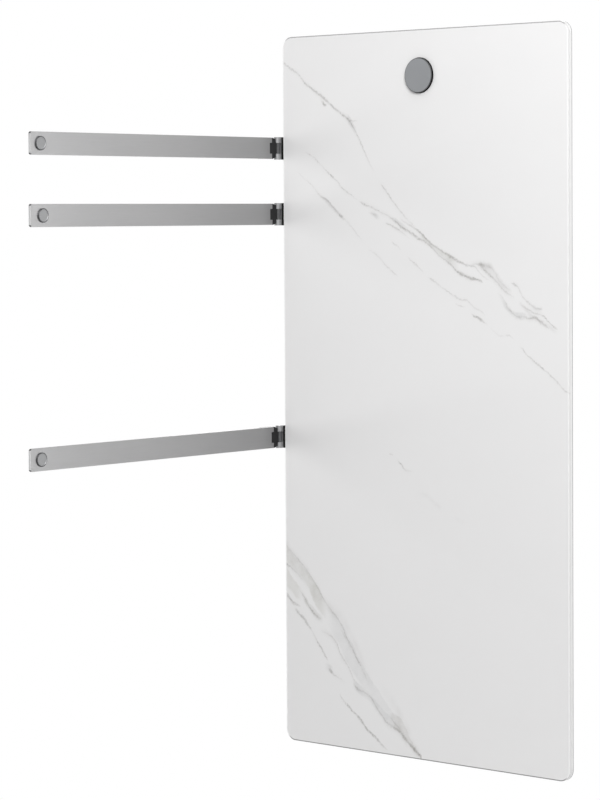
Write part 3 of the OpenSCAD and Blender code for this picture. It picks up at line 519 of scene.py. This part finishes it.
def knuckle_material():
    """Satin black carrier with the barrel painted lighter: a painted sheen for the light on its rounded face."""
    m = painted("knuckle_satin_black", (0.011, 0.0115, 0.012), 0.52, 1800.0, 0.25, 0.00006)
    x, y, z = m.xyz()
    src = m.b.inputs["Base Color"].links[0].from_socket
    dx = m.math("SUBTRACT", x, PIN[0])
    dy = m.math("SUBTRACT", y, PIN[1])
    r = m.math("SQRT", m.math("ADD", m.math("MULTIPLY", dx, dx), m.math("MULTIPLY", dy, dy)))
    # painted sheen: the barrel round the pin is painted lighter, broken up by noise
    barrel = m.remap(r, 0.0049, 0.0056, 1.0, 0.0, "SMOOTHSTEP")
    barrel_sheen_breakup = m.remap(m.noise(m.coord(), 260.0, 3.0, 0.6), 0.3, 0.7, 0.6, 1.0)
    m.to("Base Color", m.mix(m.math("MULTIPLY", barrel, barrel_sheen_breakup), src, col(0.11, 0.112, 0.116)))
    m.set(IOR=1.35)
    return m


# strength of the painted shade towards the hinge
ARM_HINGE_SHADE = 0.32
assign(arm_material(), *[a + "_arm" for a in ARMS])
assign(knuckle_material(), *[a + "_knuckle" for a in ARMS])
hinge = brushed("hinge_satin_steel", (0.37, 0.373, 0.378), 0.60, 2, 1800.0, bump=0.25)
hinge.set(Metallic=0.7)
assign(hinge, *[a + "_hinge_base" for a in ARMS])
pinm = brushed("pin_ground_steel", (0.66, 0.665, 0.67), 0.26, 2, 2600.0)
assign(pinm, *[a + "_hinge_pin" for a in ARMS])
gask = painted("gasket_rubber", (0.005, 0.005, 0.005), 0.80, 900.0, 0.3, 0.0001)
gask.set(IOR=1.3)
assign(gask, *[a + "_hinge_gasket" for a in ARMS])


def pad_material(a):
    """Satin disc with a dark rim; distances are taken from the pad's own centre."""
    lo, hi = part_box(a + "_magnet_pad")
    m = brushed("pad_satin_" + a, (0.44, 0.444, 0.45), 0.58, 1, 1700.0, bump=0.2)
    x, y, z = m.xyz()
    src = m.b.inputs["Base Color"].links[0].from_socket
    dy = m.math("SUBTRACT", y, (lo[1] + hi[1]) / 2.0)
    dz = m.math("SUBTRACT", z, (lo[2] + hi[2]) / 2.0)
    r = m.math("SQRT", m.math("ADD", m.math("MULTIPLY", dy, dy), m.math("MULTIPLY", dz, dz)))
    half = (hi[2] - lo[2]) / 2.0
    rim = m.remap(r, half - 0.0016, half - 0.0011, 0.0, 1.0, "SMOOTHSTEP")
    m.to("Base Color", m.mix(rim, src, col(0.15, 0.152, 0.156)))
    return m


for a in ARMS:
    assign(pad_material(a), a + "_magnet_pad")
ascr = brushed("arm_screw_steel", (0.45, 0.455, 0.46), 0.34, 2, 2200.0)
assign(ascr, *[a + "_arm_screws" for a in ARMS])
nylon = painted("washer_nylon", (0.030, 0.030, 0.031), 0.45, 1200.0, 0.15)
assign(nylon, "hinge_washers")

rail = painted("rail_white_coat", (0.86, 0.86, 0.855), 0.42, 1400.0, 0.2, 0.00008, var=0.03)
assign(rail, "hinge_rail", "right_rail", "top_rail", "bottom_rail")
zinc = brushed("zinc_plate", (0.60, 0.61, 0.63), 0.36, 0, 900.0, var=0.14, bump=0.1)
assign(zinc, "upper_strap", "lower_strap", "upper_wall_rail", "lower_wall_rail", "hanging_hooks", "strike_discs")
scr = brushed("screw_zinc", (0.55, 0.56, 0.57), 0.34, 0, 2400.0)
assign(scr, "cover_screws", "hook_screws", "hinge_screws", "lid_screws", "board_screws")
cover = painted("cover_powder_coat", (0.40, 0.404, 0.41), 0.55, 1100.0, 0.35, 0.00012, var=0.05)
assign(cover, "back_cover")
seal = painted("seal_tape", (0.30, 0.30, 0.30), 0.7, 700.0)
assign(seal, "edge_seal")
house = painted("housing_plastic", (0.030, 0.031, 0.033), 0.48, 1300.0, 0.4, 0.00012)
assign(house, "control_housing", "control_lid")
gland = painted("gland_nylon", (0.02, 0.02, 0.021), 0.45, 1500.0, 0.3)
assign(gland, "cable_gland", "gland_nut")
foil = painted("heating_film", (0.16, 0.11, 0.07), 0.4, 300.0, 0.2)
assign(foil, "heating_foil")
board = painted("mineral_board", (0.60, 0.57, 0.48), 0.85, 600.0, 0.6, 0.0003)
assign(board, "insulation_board")
pcb = painted("solder_mask", (0.02, 0.16, 0.06), 0.3, 800.0, 0.1)
assign(pcb, "control_board")
blk = painted("moulded_black", (0.02, 0.02, 0.02), 0.4, 1500.0, 0.25)
assign(blk, "push_switch", "relay", "temperature_sensor")
blue = painted("cutout_blue", (0.05, 0.09, 0.33), 0.35, 1500.0, 0.2)
assign(blue, "thermal_cutout")
grn = painted("terminal_green", (0.05, 0.24, 0.08), 0.42, 1500.0, 0.25)
assign(grn, "terminal_block")
red = painted("lead_red", (0.5, 0.03, 0.025), 0.5, 1500.0, 0.2)
assign(red, "foil_leads")
bez = painted("bezel_gloss_black", (0.012, 0.012, 0.013), 0.18, 900.0, 0.05)
assign(bez, "button_bezel")
plg = painted("plunger_white", (0.65, 0.65, 0.65), 0.35, 1500.0, 0.15)
assign(plg, "switch_plunger")


def button_material():
    m = Mat("button_satin_grey")
    P = m.coord()
    g = m.noise(P, 2200.0, 2.0, 0.55)
    broad = m.noise(P, 35.0, 3.0, 0.6)
    geo = m.n("ShaderNodeNewGeometry")
    nx, ny, nz = m.xyz(geo.outputs["Normal"])
    # the side walls are painted near black: the black skirt's own colour, and painted shade on the rim wall of the disc
    side = m.remap(m.math("ABSOLUTE", ny), 0.55, 0.85, 1.0, 0.0)
    face = m.mix(m.math("ADD", m.math("MULTIPLY", g, 0.4), m.math("MULTIPLY", broad, 0.6)), col(0.235, 0.243, 0.254), col(0.275, 0.283, 0.295))
    lo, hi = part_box("button_cap")
    x, y, z = m.xyz(P)
    dx = m.math("SUBTRACT", x, (lo[0] + hi[0]) / 2.0)
    dz = m.math("SUBTRACT", z, (lo[2] + hi[2]) / 2.0)
    r = m.math("SQRT", m.math("ADD", m.math("MULTIPLY", dx, dx), m.math("MULTIPLY", dz, dz)))
    half = (hi[2] - lo[2]) / 2.0
    # a fine darker ring painted round the edge of the face
    edge = m.remap(r, half - 0.0016, half - 0.0008, 0.0, 0.75, "SMOOTHSTEP")
    face = m.mix(edge, face, col(0.05, 0.051, 0.053))
    m.to("Base Color", m.mix(side, face, col(0.012, 0.012, 0.013)))
    m.to("Roughness", m.math("ADD", m.math("MULTIPLY", broad, 0.1), 0.42))
    m.to("Normal", m.bump(g, 0.2, 0.00005))
    m.set(Metallic=0.0)
    return m


assign(button_material(), "button_cap")

# ------------------------------------------------------- edge finish
def bevel(name, width, segs=3, angle=40.0):
    o = NODES[name]
    b = o.modifiers.new("arris", "BEVEL")
    b.width = width
    b.segments = segs
    b.limit_method = "ANGLE"
    b.angle_limit = math.radians(angle)
    b.harden_normals = True
    b.use_clamp_overlap = True
    return b


bevel("stone_slab", 0.0009, 3)
for a in ARMS:
    bevel(a + "_arm", 0.00035, 2)
    bevel(a + "_knuckle", 0.0005, 2)
    bevel(a + "_hinge_base", 0.0004, 2)
bevel("button_cap", 0.0004, 3)

# ------------------------------------------------------------ stage, light
WORLD_LIGHT = 0.24


def plane(name, verts, mat):
    me = bpy.data.meshes.new(name)
    me.from_pydata(verts, [], [tuple(range(len(verts)))])
    ob = bpy.data.objects.new(name, me)
    bpy.context.scene.collection.objects.link(ob)
    me.materials.append(mat)
    return ob


fl = Mat("floor_plain")
nz = fl.noise(fl.coord(), 2.0, 3.0, 0.5)
fl.to("Base Color", fl.mix(nz, col(0.86), col(0.90)))
fl.set(Roughness=0.9)
FLOOR_Z = LO[2] - 0.6
plane("floor", [(2.3 * math.cos(k * math.pi / 48), 2.3 * math.sin(k * math.pi / 48), FLOOR_Z) for k in range(96)], fl.m)

world = bpy.data.worlds.new("studio")
bpy.context.scene.world = world
world.use_nodes = True
wt = world.node_tree
bg = wt.nodes["Background"]
lp = wt.nodes.new("ShaderNodeLightPath")
mr = wt.nodes.new("ShaderNodeMapRange")
wt.links.new(lp.outputs["Is Camera Ray"], mr.inputs[0])
mr.inputs[3].default_value = WORLD_LIGHT
mr.inputs[4].default_value = 1.0
bg.inputs[0].default_value = (1.0, 1.0, 1.0, 1.0)
wt.links.new(mr.outputs[0], bg.inputs[1])
bpy.context.scene.view_settings.view_transform = "Standard"


def area(name, loc, target, size, power, color=(1, 1, 1)):
    d = bpy.data.lights.new(name, "AREA")
    d.shape = "RECTANGLE"
    d.size, d.size_y = size
    d.energy = power
    d.color = color
    o = bpy.data.objects.new(name, d)
    bpy.context.scene.collection.objects.link(o)
    o.location = loc
    v = Vector(target) - Vector(loc)
    o.rotation_euler = v.to_track_quat("-Z", "Y").to_euler()
    return o


area("key", (1.75, -1.8, 1.65), (0.15, 0.0, 0.40), (1.4, 1.4), 66)
area("left", (-5.0, -2.8, 0.50), (-0.2, 0.0, 0.2), (2.2, 3.4), 77)
area("overhead", (0.1, -1.3, 3.4), (0.1, -0.3, 0.0), (2.4, 2.0), 30)
area("right", (3.2, -0.45, 0.30), (-0.1, -0.15, 0.20), (1.2, 1.8), 8)
area("back_right", (2.6, 1.3, 0.3), (-0.3, -0.4, 0.15), (1.5, 2.0), 12)
area("back_left", (-1.8, 2.6, 0.9), (0.0, 0.0, 0.1), (2.0, 2.4), 42)
